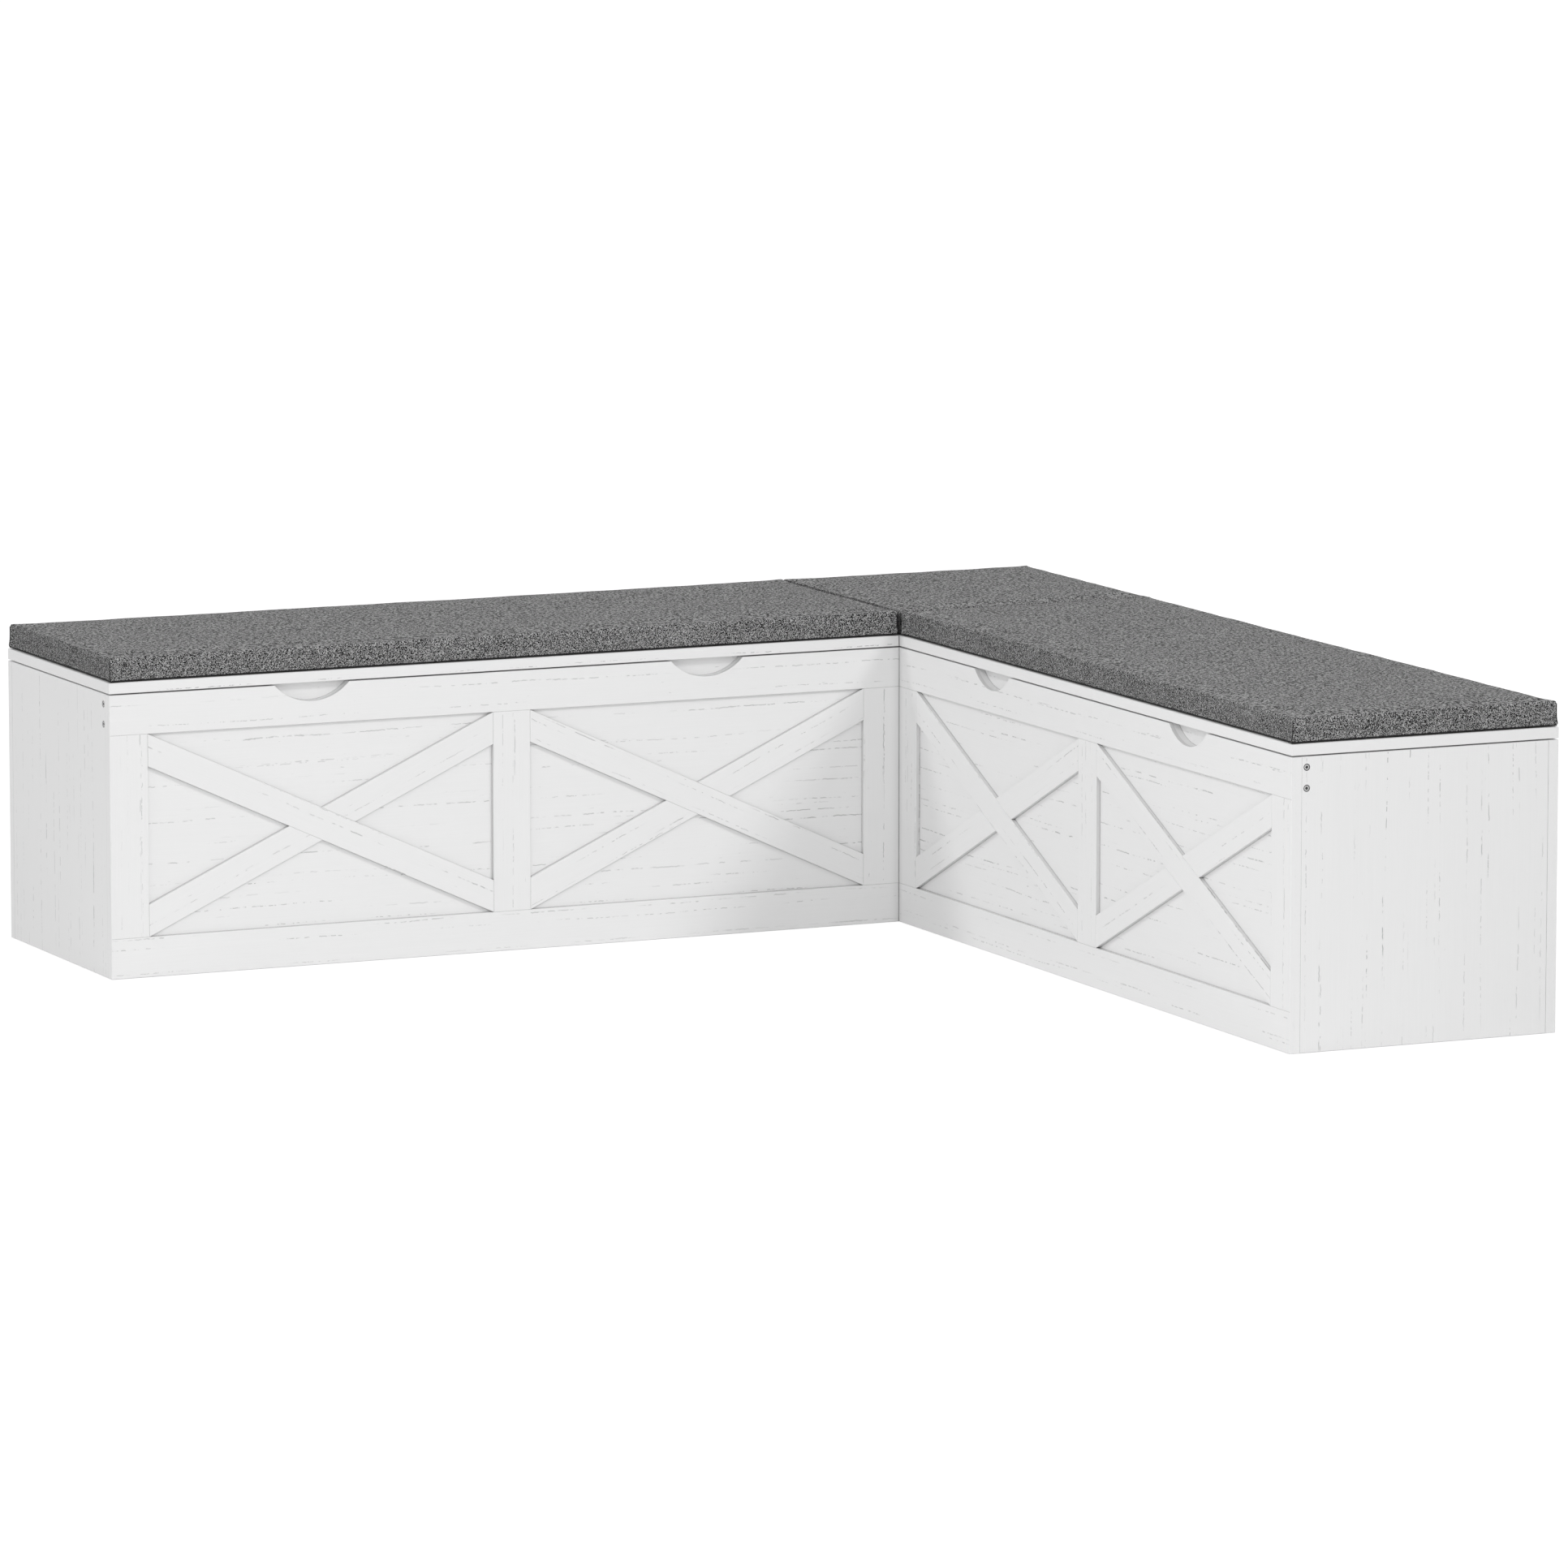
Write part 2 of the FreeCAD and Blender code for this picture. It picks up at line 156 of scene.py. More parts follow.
def board_group():
    """White wood-grain laminate in a board's own directions: broken grey pores and faint lines
    along the grain, rubbed edges, and painted shade. Along, Across and Through are the board's
    directions, Low and High its extent in them. The joint, corner and edge inputs are how bright
    the painted shade leaves it deep in a joint, in the inner corner of the L and on its sawn edges."""
    tree = bpy.data.node_groups.new("laminate", "ShaderNodeTree")
    for name in ("Along", "Across", "Through", "Low", "High", "Seed"):
        tree.interface.new_socket(name, in_out="INPUT", socket_type="NodeSocketVector")
    for name in ("JointShade", "Corner", "EdgeShade"):
        tree.interface.new_socket(name, in_out="INPUT", socket_type="NodeSocketFloat")
    tree.interface.new_socket("Color", in_out="OUTPUT", socket_type="NodeSocketColor")
    tree.interface.new_socket("Roughness", in_out="OUTPUT", socket_type="NodeSocketFloat")
    tree.interface.new_socket("Height", in_out="OUTPUT", socket_type="NodeSocketFloat")
    g = Graph(tree)
    given = g.add("NodeGroupInput").outputs
    place = g.add("ShaderNodeTexCoord").outputs
    along = g.vector("DOT_PRODUCT", place["Object"], given["Along"])
    across = g.vector("DOT_PRODUCT", place["Object"], given["Across"])
    through = g.vector("DOT_PRODUCT", place["Object"], given["Through"])
    seed_x, seed_y, _ = g.parts(given["Seed"])
    grain = g.joined(g.math("MULTIPLY", along, 0.02), across, through)
    grain = g.vector("ADD", grain, given["Seed"])

    def rows(spacing, half_width, dash, patch, shift):
        """Thin lines along the grain, one in each strip of that spacing, broken into dashes that
        come in patches. dash and patch are how fast those change along the grain."""
        sway = g.joined(g.math("MULTIPLY", along, 3.0), g.math("MULTIPLY", across, 9.0), seed_x)
        sway = g.noise(sway, 1.0, 3.0, 0.62)
        strip = g.math("DIVIDE", g.math("ADD", across, g.math("MULTIPLY", sway, 0.014)), spacing)
        apart = g.math("ADD", g.math("DIVIDE", through, spacing), g.math("ADD", seed_y, shift))
        strip = g.math("ADD", strip, apart)
        number = g.math("FLOOR", strip)
        at = g.add("ShaderNodeTexWhiteNoise", {"W": number}, noise_dimensions="1D").outputs["Value"]
        off = g.math("SUBTRACT", g.math("FRACT", strip), g.blend(at, 0.12, 0.88))
        ragged = g.noise(g.joined(g.math("MULTIPLY", along, 150.0), number, 2.0), 1.0, 1.0)
        off = g.math("ADD", off, g.math("MULTIPLY", g.math("SUBTRACT", ragged, 0.5), 0.0024 / spacing))
        away = g.math("MULTIPLY", g.math("ABSOLUTE", off), spacing)
        line = g.step(away, half_width * 0.55, half_width * 1.25, 1.0, 0.0)
        own = g.math("MULTIPLY", number, 13.37)
        broken = g.noise(g.joined(g.math("MULTIPLY", along, dash), own, 0.0), 1.0, 2.0, 0.7)
        broken = g.step(broken, 0.47, 0.57)
        patches = g.noise(g.joined(g.math("MULTIPLY", along, patch), own, 5.0), 1.0, 1.0)
        patches = g.step(patches, 0.46, 0.60)
        dashes = g.math("MULTIPLY", line, broken)
        depth = g.math("MULTIPLY", patches, g.blend(at, 1.0, 0.45))
        return g.math("MULTIPLY", dashes, depth)

    pores = g.math("MAXIMUM", rows(0.036, 0.00085, 45, 5.0, 0.0), rows(0.026, 0.00065, 85, 7.0, 3.7))
    flecks = g.step(g.noise(g.vector("MULTIPLY", grain, (7, 1, 1)), 380, 2.0, 0.6), 0.72, 0.78)
    flecks = g.math("MULTIPLY", flecks, g.step(g.noise(grain, 30, 1.0), 0.52, 0.62))
    pores = g.math("MAXIMUM", pores, g.math("MULTIPLY", flecks, 0.7))

    # No pores on the two ends of a board, where the edge band is plain.
    end = g.math("ABSOLUTE", g.vector("DOT_PRODUCT", place["Normal"], given["Along"]))
    pores = g.math("MULTIPLY", pores, g.step(end, 0.3, 0.8, 1.0, 0.0))

    fine = g.noise(grain, 560, 2.0, 0.6)
    broad = g.noise(g.vector("MULTIPLY", grain, (5, 1, 1)), 11, 2.0)
    tone = g.math("ADD", g.blend(fine, 0.975, 1.015), g.blend(broad, -0.010, 0.010))

    # Edges: how near the second nearest of the six sides is.
    local = g.joined(along, across, through)
    from_low = g.vector("SUBTRACT", local, given["Low"])
    near = g.vector("MINIMUM", from_low, g.vector("SUBTRACT", given["High"], local))
    a, b, c = g.parts(g.vector("ABSOLUTE", near))
    middle = g.math("MAXIMUM", g.math("MINIMUM", a, b), g.math("MINIMUM", g.math("MAXIMUM", a, b), c))
    rub = g.step(middle, 0.0006, 0.0022, 1.0, 0.0)
    wear_and_shoulder_light = g.noise(g.vector("MULTIPLY", grain, (14, 1, 1)), 70, 3.0, 0.7)
    rub = g.math("MULTIPLY", rub, g.step(wear_and_shoulder_light, 0.55, 0.72))

    # Painted shade: ambient occlusion darkens the joints between boards and the foot of the trims, where
    # shade falls.
    open_air = g.add("ShaderNodeAmbientOcclusion", {"Distance": 0.0018}, samples=6).outputs["AO"]
    joint_shade = g.step(open_air, 0.50, 0.90, 1.0, 0.0)

    colour = g.mix(g.math("MULTIPLY", rub, 0.30), BOARD_WHITE, BOARD_RUBBED)
    colour = g.mix(g.math("MULTIPLY", pores, 0.80), colour, BOARD_STREAK)
    # Painted shade on the sawn edges: a board's side faces are darkened by its edge share, but not at the
    # outer ends of the wings.
    face = g.math("ABSOLUTE", g.vector("DOT_PRODUCT", place["Normal"], given["Through"]))
    x, y, _ = g.parts(place["Object"])
    outer_end = g.step(g.math("MINIMUM", x, y), OUTER_END + 0.0002, OUTER_END + 0.0008, 1.0, 0.0)
    face = g.math("MAXIMUM", g.step(face, 0.2, 0.5), outer_end)
    colour = g.scaled(colour, g.math("MULTIPLY", tone, g.blend(face, given["EdgeShade"], 1.0)))
    colour = g.scaled(colour, g.blend(joint_shade, 1.0, given["JointShade"]))
    # Painted shade at the inner corner of the L: a dark line where the two wings meet, and a fainter
    # darkening out to 16 mm from it.
    from_corner = g.joined(g.math("SUBTRACT", x, INNER_CORNER), g.math("SUBTRACT", y, INNER_CORNER), 0.0)
    from_corner = g.add("ShaderNodeVectorMath", {0: from_corner}, operation="LENGTH").outputs["Value"]
    colour = g.scaled(colour, g.step(from_corner, 0.0012, 0.0026, given["Corner"], 1.0))
    colour = g.scaled(colour, g.step(from_corner, 0.0, 0.016, 0.90, 1.0))
    height = g.math("SUBTRACT", g.math("MULTIPLY", fine, 0.25), pores)
    roughness = g.math("ADD", g.blend(fine, 0.46, 0.56), g.math("MULTIPLY", pores, 0.2))
    output = g.add("NodeGroupOutput")
    for name, value in (("Color", colour), ("Roughness", roughness), ("Height", height)):
        g.put(output.inputs[name], value)
    return tree


LAMINATE = board_group()
# How bright the sawn edges of the front's boards are painted, by a word in the board's name: painted shade
# for the shade on these narrow faces.
EDGE_SHADES = {"top_rail": 0.76, "bottom_rail": 0.82, "stile": 0.82, "brace": 0.82, "face_panel": 0.90}


def longest_edge(mesh):
    edges = ((mesh.vertices[e.vertices[1]].co - mesh.vertices[e.vertices[0]].co) for e in mesh.edges)
    return max(edges, key=lambda edge: edge.length).normalized()


def grain_of(name, node):
    """The directions along, across and through a board."""
    low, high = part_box(name)
    size = high - low
    through = (X, Y, Z)[min(range(3), key=lambda i: size[i])]
    if "brace" in name:
        along = longest_edge(node.data)
    elif "stile" in name or "end_panel" in name or name.startswith("corner_") and through != Z:
        along = Z
    else:
        along = X if size.x >= size.y else Y
    return along, through.cross(along), through


def board_material(name, node, number):
    directions = grain_of(name, node)
    points = np.array([v.co for v in node.data.vertices])
    local = points @ np.array(directions).T
    material, g = new_material("laminate_" + name)
    group = g.add("ShaderNodeGroup", node_tree=LAMINATE)
    for socket, value in zip(("Along", "Across", "Through"), directions):
        group.inputs[socket].default_value = value
    group.inputs["Low"].default_value = local.min(0)
    group.inputs["High"].default_value = local.max(0)
    group.inputs["Seed"].default_value = (number * 0.731 % 5, number * 1.377 % 7, number * 2.113 % 9)
    # Painted shade in the joints, at the inner corner and on the sawn edges; fainter on the lids.
    group.inputs["JointShade"].default_value = 0.78 if name.endswith("_lid") else 0.66
    group.inputs["Corner"].default_value = 0.95 if name.endswith("_lid") else 0.90
    edges = [share for word, share in EDGE_SHADES.items() if word in name]
    group.inputs["EdgeShade"].default_value = edges[0] if edges else 1.0
    colour, roughness, height = (group.outputs[name] for name in ("Color", "Roughness", "Height"))
    finish_material(g, colour, roughness, height, (0.6, 0.00008), specular_ior_level=0.35)
    return material


# ------------------------------------------------------------- other materials


def cloth_material():
    """Heathered dark grey plain weave: each crossing shows its warp or its weft thread, the tone
    changes from thread to thread and along each one, and pale fibres wander over it."""
    material, g = new_material("heathered_weave")
    place = g.add("ShaderNodeTexCoord").outputs
    x, y, z = g.parts(place["Object"])
    nx, ny, nz = g.parts(g.vector("ABSOLUTE", place["Normal"]))
    flat = g.math("GREATER_THAN", nz, 0.72)
    on_end = g.math("GREATER_THAN", nx, ny)
    on_top = g.step(nz, 0.45, 0.97)
    across = g.blend(flat, g.blend(on_end, x, y), x)
    up = g.blend(flat, z, y)
    wobble = g.math("MULTIPLY", g.noise(place["Object"], 60, 2.0), 1.6)
    a = g.math("ADD", g.math("DIVIDE", across, THREAD_PITCH), wobble)
    b = g.math("SUBTRACT", g.math("DIVIDE", up, THREAD_PITCH), wobble)
    i = g.math("FLOOR", a)
    j = g.math("FLOOR", b)
    warp_over = g.math("FLOORED_MODULO", g.math("ADD", i, j), 2.0)
    warp = g.noise(g.joined(g.math("MULTIPLY", i, 7.31), g.math("MULTIPLY", b, 0.6), on_end), 1.0, 2.0, 0.7)
    weft = g.noise(g.joined(g.math("MULTIPLY", a, 0.6), g.math("MULTIPLY", j, 5.17), 9.0), 1.0, 2.0, 0.7)
    thread = g.step(g.blend(warp_over, weft, warp), 0.34, 0.66)
    crossing = g.add("ShaderNodeTexWhiteNoise", {"Vector": g.joined(i, j, on_end)}, noise_dimensions="3D")
    wander = g.math("ABSOLUTE", g.math("SUBTRACT", g.noise(place["Object"], 420, 1.0, 0.6), 0.5))
    fibre = g.step(wander, 0.0, 0.085, 1.0, 0.0)
    slub = g.step(g.noise(place["Object"], 260, 2.0, 0.65), 0.38, 0.62)

    def heather(shares):
        tone = 0.0
        for part, share in zip((thread, crossing.outputs["Value"], fibre, slub), shares):
            tone = g.math("ADD", g.math("MULTIPLY", part, share), tone)
        return tone

    tone = g.blend(on_top, heather((0.25, 0.25, 0.50, 0.0)), heather((0.10, 0.30, 0.20, 0.40)))
    # The tone range differs between the front and the end sides, which are the same cloth: partly painted
    # light and shade for how they face the lamps.
    low = g.blend(on_top, g.blend(on_end, 0.24, 0.31), 0.245)
    high = g.blend(on_top, g.blend(on_end, 0.73, 0.67), 0.715)
    tone = g.step(tone, low, high)
    round_a = g.math("SINE", g.math("MULTIPLY", g.math("FRACT", a), math.pi))
    round_b = g.math("SINE", g.math("MULTIPLY", g.math("FRACT", b), math.pi))
    height = g.math("MULTIPLY", round_a, round_b)
    colour = g.mix(tone, THREAD_DARK, THREAD_LIGHT)
    cloud = g.noise(place["Object"], 16, 2.0)
    # Painted shade between the threads by their relief, with broad clouds of tone.
    shade = g.math("MULTIPLY", g.blend(height, 0.60, 1.12), g.blend(cloud, 0.93, 1.07))
    # Painted light and shade by face: the top, the front sides and the end sides each get their own
    # brightness for how they face the lamps.
    shade = g.math("MULTIPLY", shade, g.blend(on_top, g.blend(on_end, 0.98, 0.85), 0.88))
    # Painted light: the top of each side is painted paler, where the rounded shoulder catches the light.
    wear_and_shoulder_light = g.step(z, 0.433, 0.449, 1.0, 1.09)
    shade = g.math("MULTIPLY", shade, g.blend(on_top, wear_and_shoulder_light, 1.0))
    colour = g.scaled(colour, shade)
    # Painted shade and light along the gap where the right cushion meets the corner one: the colour goes
    # darker and paler by turns.
    from_joint = g.math("ABSOLUTE", g.math("SUBTRACT", y, INNER_CORNER))
    gap_shade_mask = g.step(from_joint, 0.0018, 0.0040, 1.0, 0.0)
    gap_shade_mask = g.math("MULTIPLY", gap_shade_mask, g.step(x, INNER_CORNER + 0.008, INNER_CORNER + 0.030))
    pile_and_gap_shade = g.step(g.noise(place["Object"], 330, 1.0), 0.42, 0.58, 0.40, 1.45)
    colour = g.scaled(colour, g.blend(gap_shade_mask, 1.0, pile_and_gap_shade))
    constants = {"sheen_weight": 0.08, "sheen_roughness": 0.5, "specular_ior_level": 0.12}
    finish_material(g, colour, 0.94, height, (0.8, 0.0004), **constants)
    return material


def seam_and_shade_material():
    """A seam's thread, coloured near black: partly the seam itself, partly painted shade for the shade in
    its fold.
    """
    material, g = new_material("seam_thread_and_shade")
    place = g.add("ShaderNodeTexCoord").outputs
    twist = g.noise(place["Object"], 900, 2.0)
    colour = g.mix(twist, (0.003, 0.003, 0.003, 1), (0.018, 0.018, 0.018, 1))
    finish_material(g, colour, 0.95, twist, (0.5, 0.0002))
    return material


def steel_material(name, light, dark, roughness):
    """Zinc plate with fine rolling lines and dull spots."""
    material, g = new_material(name)
    place = g.add("ShaderNodeTexCoord").outputs
    lines = g.noise(g.vector("MULTIPLY", place["Object"], (60, 900, 900)), 1.0, 3.0, 0.6)
    spots = g.noise(place["Object"], 210, 3.0, 0.6)
    share = g.math("ADD", g.math("MULTIPLY", lines, 0.5), g.math("MULTIPLY", spots, 0.5))
    colour = g.mix(g.step(share, 0.35, 0.65), dark, light)
    rough = g.math("ADD", g.math("MULTIPLY", share, 0.25), roughness)
    finish_material(g, colour, rough, lines, (0.25, 0.00005), metallic=1.0)
    return material


def end_screw_material(name, side):
    """A screw head in its counterbore, with painted light and shade: a dark ring of painted shadow at the
    rim, a dark socket of painted shade and a painted highlight ring between.
    side is the axis that the heads stand apart from the front of their wing on."""
    material, g = new_material("zinc_" + name)
    place = g.add("ShaderNodeTexCoord").outputs
    at = g.parts(place["Object"])
    below = g.math("ABSOLUTE", g.math("SUBTRACT", at[2], END_SCREWS[1]))
    above = g.math("ABSOLUTE", g.math("SUBTRACT", at[2], END_SCREWS[2]))
    beside = g.math("SUBTRACT", at[side], END_SCREWS[0])
    out = g.joined(beside, g.math("MINIMUM", below, above), 0.0)
    out = g.add("ShaderNodeVectorMath", {0: out}, operation="LENGTH").outputs["Value"]
    scuffs = g.noise(place["Object"], 900, 3.0, 0.6)
    out = g.math("ADD", out, g.math("MULTIPLY", g.math("SUBTRACT", scuffs, 0.5), 0.0006))
    highlight_ring = g.math("MULTIPLY", g.step(out, 0.0019, 0.0023), g.step(out, 0.0031, 0.0036, 1.0, 0.0))
    colour = g.mix(highlight_ring, (0.10, 0.10, 0.10, 1), (0.62, 0.62, 0.62, 1))
    colour = g.scaled(colour, g.blend(scuffs, 0.85, 1.15))
    finish_material(g, colour, g.blend(scuffs, 0.38, 0.55), scuffs, (0.3, 0.00005), metallic=0.6)
    return material


def recess_shade_material():
    """The cross in a screw head, painted near black as the shade in its recess."""
    material, g = new_material("screw_recess_shade")
    place = g.add("ShaderNodeTexCoord").outputs
    recess_shade_mottle = g.noise(place["Object"], 1500, 2.0)
    colour = g.mix(recess_shade_mottle, (0.015, 0.015, 0.015, 1), (0.06, 0.06, 0.06, 1))
    finish_material(g, colour, g.blend(recess_shade_mottle, 0.5, 0.7), recess_shade_mottle, (0.4, 0.00005))
    return material


def batten_material():
    """Planed pine: growth lines along the length."""
    material, g = new_material("planed_pine")
    place = g.add("ShaderNodeTexCoord").outputs
    rings = g.noise(g.vector("MULTIPLY", place["Object"], (7, 7, 320)), 1.0, 3.0, 0.55)
    pores = g.noise(g.vector("MULTIPLY", place["Object"], (60, 60, 1400)), 1.0, 2.0)
    colour = g.mix(g.step(rings, 0.38, 0.62), (0.62, 0.45, 0.26, 1), (0.44, 0.28, 0.13, 1))
    colour = g.scaled(colour, g.blend(pores, 0.88, 1.08))
    finish_material(g, colour, g.blend(rings, 0.6, 0.75), pores, (0.5, 0.0001))
    return material


def tape_material():
    """Hook-and-loop tape: a dark matt pile."""
    material, g = new_material("loop_pile")
    place = g.add("ShaderNodeTexCoord").outputs
    pile_and_gap_shade = g.noise(place["Object"], 1400, 2.0, 0.8)
    colour = g.mix(g.step(pile_and_gap_shade, 0.35, 0.7), (0.012, 0.012, 0.012, 1), (0.055, 0.055, 0.055, 1))
    finish_material(g, colour, 0.95, pile_and_gap_shade, (1.0, 0.0006), sheen_weight=0.2)
    return material


def rubber_material():
    material, g = new_material("soft_rubber")
    place = g.add("ShaderNodeTexCoord").outputs
    mottle = g.noise(place["Object"], 600, 3.0)
    colour = g.mix(mottle, (0.62, 0.62, 0.61, 1), (0.74, 0.74, 0.73, 1))
    finish_material(g, colour, g.blend(mottle, 0.55, 0.7), mottle, (0.3, 0.0001))
    return material


# --------------------------------------------------------------------- pieces


def new_object(name, vertices, faces, material):
    mesh = bpy.data.meshes.new(name)
    mesh.from_pydata([tuple(v) for v in vertices], [], faces)
    mesh.materials.append(material)
    made = bpy.data.objects.new(name, mesh)
    bpy.context.scene.collection.objects.link(made)
    return made


def spread(length, step):
    """Lines from 0 to length, close together near both ends."""
    close = [0.0, 0.0012, 0.0028, 0.0050, 0.0085, 0.0135, 0.0195]
    close = [c for c in close if c < length / 2]
    count = max(1, round((length - 2 * close[-1]) / step))
    middle = np.linspace(close[-1], length - close[-1], count + 1)
    return np.concatenate([close[:-1], middle, [length - c for c in reversed(close[:-1])]])


def padded_block(low, high, radius, step):
    """A closed box of quads with slightly rounded edges, and the number of the vertex at each
    place of its grid."""
    lines = [spread(high[i] - low[i], step) + low[i] for i in range(3)]
    last = [len(line) - 1 for line in lines]
    numbers, points, faces = {}, [], []

    def at(index):
        if index not in numbers:
            numbers[index] = len(points)
            points.append([lines[i][index[i]] for i in range(3)])
        return numbers[index]

    for axis in range(3):
        a, b = (axis + 1) % 3, (axis + 2) % 3
        for side in (0, last[axis]):
            for p in range(last[a]):
                for q in range(last[b]):
                    ring = []
                    for dp, dq in ((0, 0), (1, 0), (1, 1), (0, 1)):
                        index = [0, 0, 0]
                        index[axis], index[a], index[b] = side, p + dp, q + dq
                        ring.append(at(tuple(index)))
                    faces.append(ring if side else ring[::-1])
    points = np.array(points)
    core = np.clip(points, np.array(low) + radius, np.array(high) - radius)
    out = points - core
    points = core + out / np.maximum(np.linalg.norm(out, axis=1, keepdims=True), 1e-9) * radius
    return points, faces, numbers, last


def applied(thing):
    """The thing's mesh with its modifiers applied."""
    graph = bpy.context.evaluated_depsgraph_get()
    mesh = bpy.data.meshes.new_from_object(thing.evaluated_get(graph))
    thing.modifiers.clear()
    thing.data = mesh
    return mesh


def coordinates(mesh):
    points = np.zeros(len(mesh.vertices) * 3)
    mesh.vertices.foreach_get("co", points)
    return points.reshape(-1, 3)


def puffed(thing, cap):
    """Blows a closed mesh up a little as cloth round foam. No point moves further than cap, and
    the underside stays where it is, because it lies on its lid."""
    frames = 20
    rest = coordinates(thing.data)
    held = thing.vertex_groups.new(name="held")
    under = np.nonzero(rest[:, 2] < rest[:, 2].min() + 0.0015)[0]
    held.add([int(i) for i in under], 1.0, "REPLACE")
    cloth = thing.modifiers.new("cover", "CLOTH")
    cloth.settings.quality = 5
    cloth.settings.mass = 0.3
    cloth.settings.tension_stiffness = 18
    cloth.settings.compression_stiffness = 18
    cloth.settings.shear_stiffness = 6
    cloth.settings.bending_stiffness = 0.6
    cloth.settings.use_pressure = True
    cloth.settings.uniform_pressure_force = 4
    cloth.settings.vertex_group_mass = "held"
    cloth.settings.pin_stiffness = 1
    cloth.settings.effector_weights.gravity = 0
    cloth.collision_settings.use_collision = False
    cloth.point_cache.frame_start = 1
    cloth.point_cache.frame_end = frames
    scene = bpy.context.scene
    for number in range(1, frames + 1):
        scene.frame_set(number)
    mesh = applied(thing)
    points = coordinates(mesh)
    moved = points - rest
    far = np.linalg.norm(moved, axis=1, keepdims=True)
    # A soft cap: the move levels off towards cap.
    points = rest + moved * (np.tanh(far / cap) * cap / np.maximum(far, 1e-9))
    mesh.vertices.foreach_set("co", points.ravel())
    mesh.update()
    scene.frame_set(1)


def tube(name, paths, radius, material, closed=False, sides=8):
    """Round cords along lists of points, with flat ends or joined up into rings."""
    vertices, faces = [], []
    for path in paths:
        first = len(vertices)
        count = len(path)
        for k, point in enumerate(path):
            after = path[(k + 1) % count if closed else min(k + 1, count - 1)]
            before = path[k - 1 if closed else max(k - 1, 0)]
            ahead = (after - before).normalized()
            side = ahead.cross(Z if abs(ahead.z) < 0.9 else X).normalized()
            other = ahead.cross(side)
            for n in range(sides):
                angle = 2 * math.pi * n / sides
                vertices.append(point + (side * math.cos(angle) + other * math.sin(angle)) * radius)
        for k in range(count if closed else count - 1):
            for n in range(sides):
                near, far = first + k * sides, first + (k + 1) % count * sides
                m = (n + 1) % sides
                faces.append((near + n, near + m, far + m, far + n))
        if not closed:
            faces.append(tuple(first + n for n in reversed(range(sides))))
            faces.append(tuple(first + (count - 1) * sides + n for n in range(sides)))
    made = new_object(name, vertices, faces, material)
    for face in made.data.polygons:
        face.use_smooth = True
    return made


def eased_over(distance, reach):
    """1 at distance 0, falling smoothly to 0 at reach."""
    share = np.clip(distance / reach, 0, 1)
    return (1 - share) ** 2


def pressed_together(points, low, high, sides):
    """Cushion sides that lean against the next cushion, but for their ends at the inner corner.
    Each side is an axis and a direction."""
    for axis, way in sides:
        face = high[axis] if way > 0 else low[axis]
        out = (points[:, axis] - face) * way
        from_slot = points[:, 1 - axis] - low[1 - axis]
        share = 1 - eased_over(np.maximum(from_slot, 0), 0.016)
        share *= eased_over(np.maximum(high[2] - 0.001 - points[:, 2], 0), 0.022)
        share *= eased_over(np.maximum(-out, 0), 0.016)
        ripple = np.sin(points[:, 1 - axis] * 300) * np.sin(points[:, 1 - axis] * 137 + 1)
        out = np.minimum(out + share * 0.0034, CUSHION_REACH - (1 + ripple) * 0.0002)
        points[:, axis] = face + out * way


